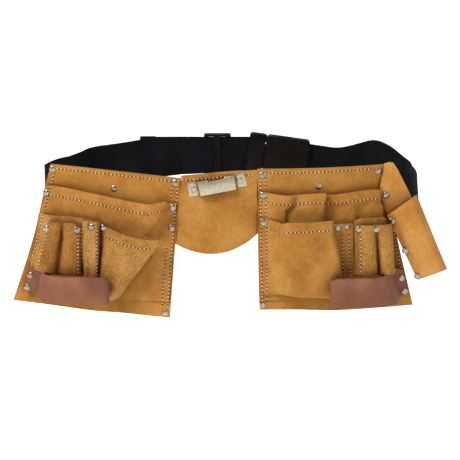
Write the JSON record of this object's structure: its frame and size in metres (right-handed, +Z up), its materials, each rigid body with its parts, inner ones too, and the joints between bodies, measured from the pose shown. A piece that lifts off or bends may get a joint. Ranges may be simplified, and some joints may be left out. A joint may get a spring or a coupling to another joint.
{
  "type": "tool belt",
  "caption": "Webbing waist belt with two hanging suede tool pouches, a centre panel with a steel tape clip, tool loops and a hammer sleeve.",
  "frame": {"origin": "middle of the waist loop, halfway up the webbing in front of the wearer", "axes": "+Z up as worn, -Y to the front of the wearer where the pouches hang, +X along the belt towards the hammer holder"},
  "size_m": [0.6346, 0.2529, 0.2354],
  "materials": {
    "suede": "rough split suede",
    "smooth_leather": "smooth top grain",
    "webbing": "woven polypropylene",
    "black_plastic": "moulded, satin",
    "rivet_nickel": "nickel plated",
    "bracket_steel": "plated pressed steel"
  },
  "bodies": {
    "belt": {"belt_webbing": "webbing", "webbing_tail": "webbing", "buckle_male_frame": "black_plastic", "centre_belt_tunnel": "suede"},
    "buckle_catch": {"buckle_female": "black_plastic"},
    "prong_upper": {"buckle_prong_upper": "black_plastic"},
    "prong_lower": {"buckle_prong_lower": "black_plastic"},
    "adjuster": {"tri_glide": "black_plastic"},
    "right_hanger": {"right_belt_tunnel": "suede"},
    "left_hanger": {"left_belt_tunnel": "suede"},
    "right_pouch": {"right_back_panel": "suede", "right_rear_pocket": "suede", "right_front_pocket": "suede", "right_tool_pocket": "suede", "right_tool_tubes": "suede", "right_rivets": "rivet_nickel"},
    "left_pouch": {"left_back_panel": "suede", "left_rear_pocket": "suede", "left_front_pocket": "suede", "left_tool_pocket": "suede", "left_tool_tubes": "suede", "left_pencil_slots": "suede", "left_rivets": "rivet_nickel"},
    "right_loop": {"right_tool_loop": "smooth_leather", "right_loop_rivets": "rivet_nickel"},
    "left_loop": {"left_tool_loop": "smooth_leather", "left_loop_rivets": "rivet_nickel"},
    "hammer_holder": {"hammer_strap": "suede", "hammer_sleeve": "suede", "hammer_sleeve_rivets": "rivet_nickel", "hammer_strap_rivet": "rivet_nickel"},
    "centre": {"centre_panel": "suede", "tape_clip_bracket": "bracket_steel", "tape_clip_rivets": "rivet_nickel"}
  },
  "joints": [
    {"name": "buckle_release", "type": "slide", "parent": "belt", "child": "buckle_catch", "axis": [0.9903, 0, -0.1392], "range_m": [0, 0.042]},
    {"name": "prong_upper_press", "type": "hinge", "parent": "belt", "child": "prong_upper", "pos_m": [0.0553, 0.1, 0.02389], "axis": [0, 1, 0], "range_deg": [0, 9]},
    {"name": "prong_lower_press", "type": "hinge", "parent": "belt", "child": "prong_lower", "pos_m": [0.04931, 0.1, -0.01869], "axis": [0, -1, 0], "range_deg": [0, 9]},
    {"name": "adjuster_slide", "type": "slide", "parent": "belt", "child": "adjuster", "axis": [1, 0, 0], "range_m": [-0.03, 0.006]},
    {"name": "right_pouch_slide", "type": "slide", "parent": "belt", "child": "right_hanger", "axis": [0.9903, 0.1392, 0], "range_m": [0, 0.008]},
    {"name": "right_pouch_swing", "type": "hinge", "parent": "right_hanger", "child": "right_pouch", "pos_m": [0.039, -0.103, 0.027], "axis": [-0.9903, -0.1392, 0], "range_deg": [0, 40]},
    {"name": "left_pouch_slide", "type": "slide", "parent": "belt", "child": "left_hanger", "axis": [-0.9869, 0.1387, 0.0819], "range_m": [0, 0.008]},
    {"name": "left_pouch_swing", "type": "hinge", "parent": "left_hanger", "child": "left_pouch", "pos_m": [-0.07, -0.103, 0.014], "axis": [-0.9869, 0.1387, 0.0819], "range_deg": [0, 40]},
    {"name": "centre_panel_swing", "type": "hinge", "parent": "belt", "child": "centre", "pos_m": [-0.0155, -0.103, 0.0205], "axis": [-0.9928, 0, -0.1201], "range_deg": [0, 35]},
    {"name": "right_tool_loop_swing", "type": "hinge", "parent": "right_pouch", "child": "right_loop", "pos_m": [0.26538, -0.08987, -0.126], "axis": [0, 0, 1], "range_deg": [0, 80]},
    {"name": "left_tool_loop_swing", "type": "hinge", "parent": "left_pouch", "child": "left_loop", "pos_m": [-0.30631, -0.08847, -0.12312], "axis": [-0.0121, 0.0017, -0.9999], "range_deg": [0, 80]},
    {"name": "hammer_holder_swivel", "type": "hinge", "parent": "right_pouch", "child": "hammer_holder", "pos_m": [0.22912, -0.08335, -0.015], "axis": [0.1392, -0.9903, 0], "range_deg": [0, 12]}
  ],
  "couplings": [
    {"joint": "prong_lower_press", "follows": "prong_upper_press", "ratio": 1}
  ]
}
